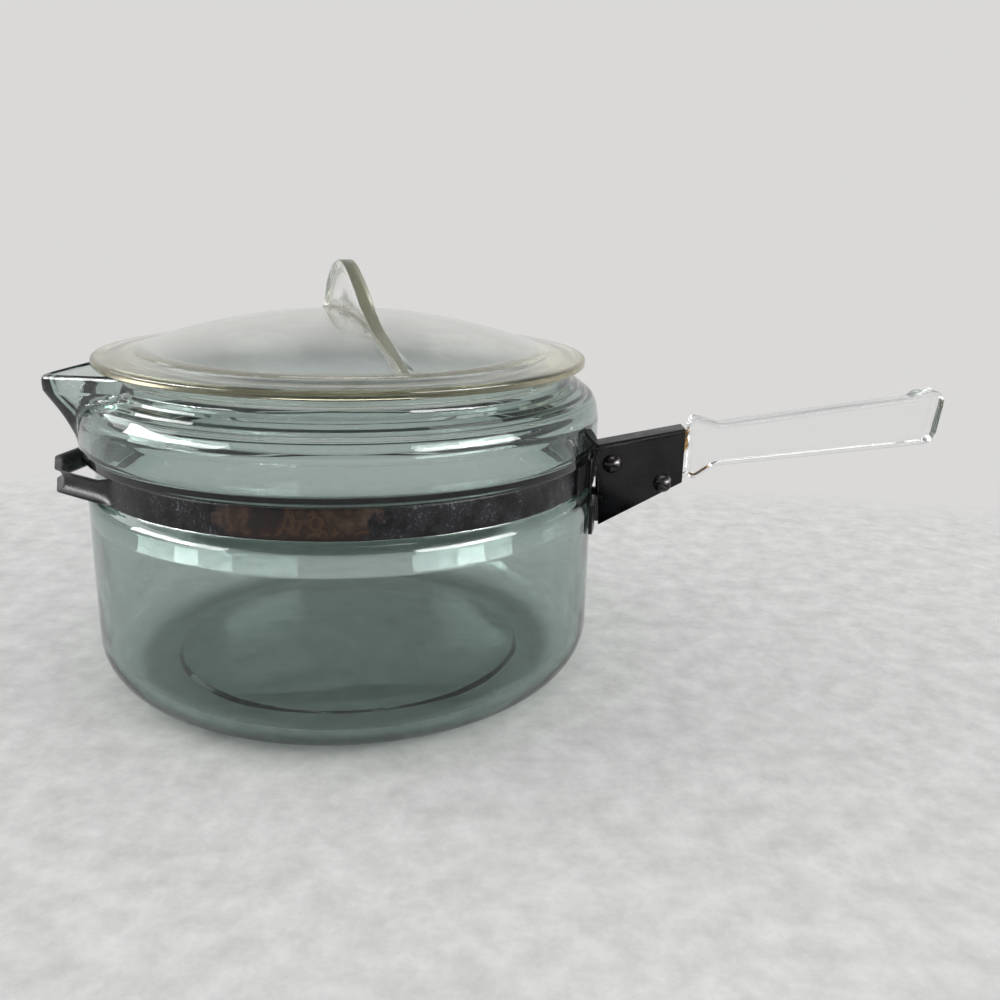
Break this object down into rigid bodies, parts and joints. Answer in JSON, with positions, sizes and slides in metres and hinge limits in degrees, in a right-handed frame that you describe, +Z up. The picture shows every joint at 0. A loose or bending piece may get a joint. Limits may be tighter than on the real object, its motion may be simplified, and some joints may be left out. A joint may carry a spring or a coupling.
{
  "type": "glass saucepan",
  "caption": "Round glass saucepan with a drawn-in neck, pouring beak and lift-off domed glass lid with a fin; a steel band with a formed nose carries a flat glass handle in a folded bracket.",
  "frame": {"origin": "on the pan's axis, on the surface that the pan stands on", "axes": "+Z up, +X from the pan's axis to the handle, +Y to the side that the handle's nuts are on"},
  "size_m": [0.2844, 0.1668, 0.1339],
  "materials": {
    "pan_glass": "clear, tinted grey-green",
    "lid_glass": "clear, olive at the edge",
    "handle_glass": "clear",
    "black_steel": "satin black paint, worn to brown on the band's front",
    "screw_steel": "dark plated steel",
    "liner_fibre": "brown fibre sheet, brittle at the edge"
  },
  "bodies": {
    "pan": {"pan_body": "pan_glass", "band": "black_steel", "near_strap": "black_steel", "far_strap": "black_steel", "handle_bracket": "black_steel", "handle_liner": "liner_fibre", "glass_handle": "handle_glass", "front_screw": "screw_steel", "rear_screw": "screw_steel", "front_washer": "screw_steel", "rear_washer": "screw_steel", "front_nut": "screw_steel", "rear_nut": "screw_steel"},
    "lid": {"lid": "lid_glass"}
  },
  "joints": [
    {"name": "lid_lift", "type": "slide", "parent": "pan", "child": "lid", "axis": [0, 0, 1], "range_m": [0, 0.12]}
  ]
}
